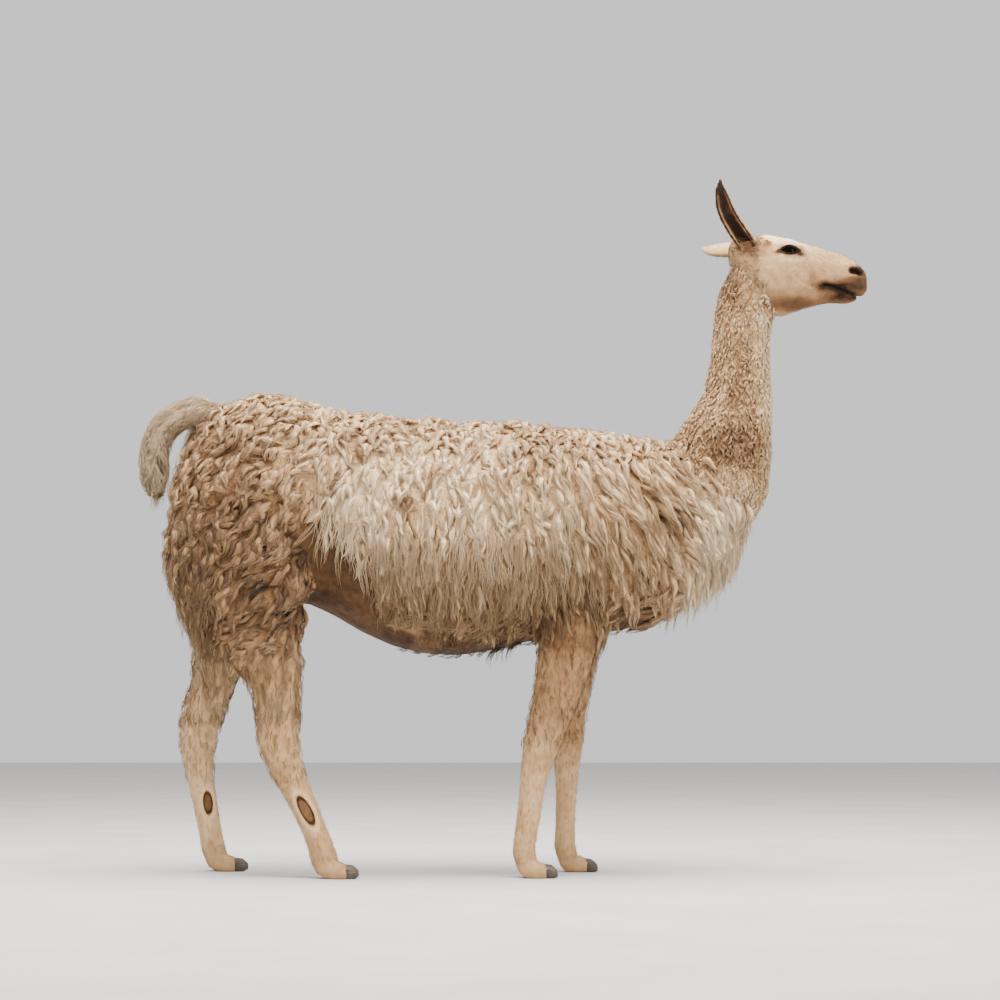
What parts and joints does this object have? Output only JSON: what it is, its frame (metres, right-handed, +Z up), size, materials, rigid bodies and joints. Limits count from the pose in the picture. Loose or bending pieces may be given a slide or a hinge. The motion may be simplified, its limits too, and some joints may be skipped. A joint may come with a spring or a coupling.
{
  "type": "llama",
  "caption": "Life-size still model of a standing llama in full wool, head raised, one ear up and one ear back, tail arched, weight on flat-soled two-toed feet.",
  "frame": {"origin": "middle of the model's box, on the floor the soles stand on", "axes": "+X the way the llama faces, +Y its left side, +Z up"},
  "size_m": [1.8604, 0.5232, 1.7653],
  "materials": {
    "wool": "matted cream and tan wool in hanging locks, dull",
    "short_hair": "short close cream hair on the face, ears and lower legs, dull",
    "eyes": "wet dark brown eyeball, mirror-smooth",
    "nails": "dark horn, worn satin"
  },
  "bodies": {
    "root": {"ear_left": "short_hair", "ear_right": "short_hair", "eye_left": "eyes", "eye_right": "eyes", "foot_fore_left": "short_hair", "foot_fore_right": "short_hair", "foot_hind_left": "short_hair", "foot_hind_right": "short_hair", "fore_cannon_left": "short_hair", "fore_cannon_right": "short_hair", "forearm_left": "short_hair", "forearm_right": "short_hair", "head": "short_hair", "hind_cannon_left": "short_hair", "hind_cannon_right": "short_hair", "knee_left": "short_hair", "knee_right": "short_hair", "lower_jaw": "short_hair", "nail_fore_left_inner": "nails", "nail_fore_left_outer": "nails", "nail_fore_right_inner": "nails", "nail_fore_right_outer": "nails", "nail_hind_left_inner": "nails", "nail_hind_left_outer": "nails", "nail_hind_right_inner": "nails", "nail_hind_right_outer": "nails", "neck": "wool", "shank_left": "short_hair", "shank_right": "short_hair", "tail": "wool", "thigh_left": "wool", "thigh_right": "wool", "trunk": "wool"}
  },
  "joints": []
}
